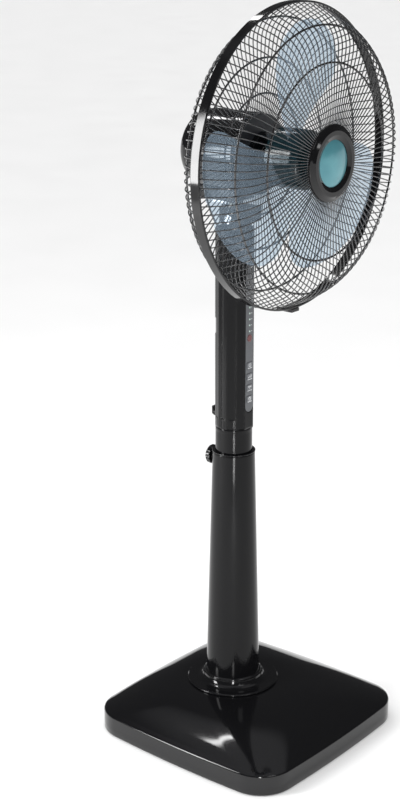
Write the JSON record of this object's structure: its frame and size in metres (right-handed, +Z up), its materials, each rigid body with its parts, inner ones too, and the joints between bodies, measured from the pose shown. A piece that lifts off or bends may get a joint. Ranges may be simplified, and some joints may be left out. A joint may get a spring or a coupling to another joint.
{
  "type": "pedestal fan",
  "caption": "Pedestal fan with square crowned base, telescopic column, slim control housing, tilting and swinging head, round wire guards and a translucent bladed rotor.",
  "frame": {"origin": "centre of the base's footprint, on the floor", "axes": "+Z up; the fan blows along -Y; +X to the right of someone who faces the fan"},
  "size_m": [0.4499, 0.38, 1.1766],
  "materials": {
    "gloss_black": "high gloss moulded black",
    "matte_black": "matt black",
    "ballast_iron": "rough cast",
    "foot_rubber": "soft matt",
    "zinc_steel": "zinc plated",
    "black_screw": "black oxide",
    "nylon": "natural nylon",
    "panel_grey": "satin grey",
    "button_grey": "satin grey",
    "window_red": "dark red lens",
    "light_lens": "clear lens",
    "board_green": "solder mask",
    "board_black": "moulded packages",
    "bracket_steel": "painted pressing",
    "brass": "turned",
    "copper_wire": "enamelled winding wire",
    "shield_aluminium": "die cast",
    "wire_black": "glossy black coating",
    "cap_teal": "satin pearl teal",
    "blade_blue": "clear tinted"
  },
  "bodies": {
    "base": {"base_shell": "gloss_black", "base_ballast": "ballast_iron", "base_plate": "matte_black", "base_feet": "foot_rubber", "base_screws": "zinc_steel", "column_flange": "gloss_black", "column_nut": "matte_black", "outer_column": "gloss_black", "column_bush": "gloss_black", "clamp_pad": "nylon", "cord_grommet": "foot_rubber"},
    "knob": {"height_knob": "gloss_black", "knob_stud": "zinc_steel"},
    "mast": {"inner_column": "gloss_black", "slide_shoe": "nylon", "housing_front": "gloss_black", "housing_rear": "gloss_black", "housing_screws": "black_screw", "control_panel": "panel_grey", "receiver_window": "window_red", "indicator_lights": "light_lens", "circuit_board": "board_green", "board_parts": "board_black", "tilt_lug": "matte_black", "tilt_bolt": "zinc_steel", "tilt_nut": "zinc_steel"},
    "power_key": {"button_power": "button_grey"},
    "speed_key": {"button_speed": "button_grey"},
    "swing_key": {"button_swing": "button_grey"},
    "timer_key": {"button_timer": "button_grey"},
    "neck": {"neck_bracket": "gloss_black", "pivot_pin": "zinc_steel", "thrust_spacer": "nylon", "pivot_clip": "zinc_steel"},
    "link": {"swing_link": "zinc_steel"},
    "head": {"motor_bracket": "bracket_steel", "swing_motor": "zinc_steel", "motor_cover_rear": "gloss_black", "motor_cover_front": "gloss_black", "cover_screws": "black_screw", "stator_core": "zinc_steel", "windings": "copper_wire", "end_shield_front": "shield_aluminium", "end_shield_rear": "shield_aluminium", "shaft_bushes": "brass", "rear_guard_wires": "wire_black", "rear_guard_rings": "wire_black", "rear_guard_plate": "matte_black", "guard_nut": "gloss_black", "rim_hoop": "gloss_black", "rim_latch": "gloss_black", "front_guard_wires": "wire_black", "front_guard_rings": "wire_black", "cap_ring": "gloss_black", "cap_disc": "cap_teal"},
    "crank": {"swing_crank": "brass"},
    "rotor": {"motor_shaft": "zinc_steel", "rotor_core": "zinc_steel", "fan_blade": "blade_blue", "blade_nut": "gloss_black"}
  },
  "joints": [
    {"name": "height_slide", "type": "slide", "parent": "base", "child": "mast", "axis": [0, 0, 1], "range_m": [-0.038, 0.2]},
    {"name": "knob_turn", "type": "hinge", "parent": "base", "child": "knob", "pos_m": [0, 0.081, 0.457], "axis": [0, 1, 0], "range_deg": [0, 360]},
    {"name": "tilt", "type": "hinge", "parent": "mast", "child": "neck", "pos_m": [0, 0.023, 0.8516], "axis": [-1, 0, 0], "range_deg": [-12, 25]},
    {"name": "swing", "type": "hinge", "parent": "neck", "child": "head", "pos_m": [0, 0.031, 0.8716], "axis": [0, 0, 1], "range_deg": [-40, 40]},
    {"name": "crank_turn", "type": "hinge", "parent": "head", "child": "crank", "pos_m": [0, 0.065, 0.8743], "axis": [0, 0, 1], "range_deg": [-85.6, 85.6]},
    {"name": "link_turn", "type": "hinge", "parent": "neck", "child": "link", "pos_m": [0, 0.0459, 0.8701], "axis": [0, 0, 1], "range_deg": [-89.2, 89.2]},
    {"name": "blade_spin", "type": "hinge", "parent": "head", "child": "rotor", "pos_m": [0, -0.079, 0.9516], "axis": [0, 1, 0], "continuous": true},
    {"name": "timer_press", "type": "slide", "parent": "mast", "child": "timer_key", "axis": [0, 1, 0], "range_m": [0, 0.001], "stiffness_N_per_m": 600, "springref_m": -0.001},
    {"name": "swing_press", "type": "slide", "parent": "mast", "child": "swing_key", "axis": [0, 1, 0], "range_m": [0, 0.001], "stiffness_N_per_m": 600, "springref_m": -0.001},
    {"name": "speed_press", "type": "slide", "parent": "mast", "child": "speed_key", "axis": [0, 1, 0], "range_m": [0, 0.001], "stiffness_N_per_m": 600, "springref_m": -0.001},
    {"name": "power_press", "type": "slide", "parent": "mast", "child": "power_key", "axis": [0, 1, 0], "range_m": [0, 0.001], "stiffness_N_per_m": 600, "springref_m": -0.001}
  ],
  "couplings": [
    {"joint": "crank_turn", "follows": "swing", "ratio": 2.14},
    {"joint": "link_turn", "follows": "swing", "ratio": 2.23}
  ]
}
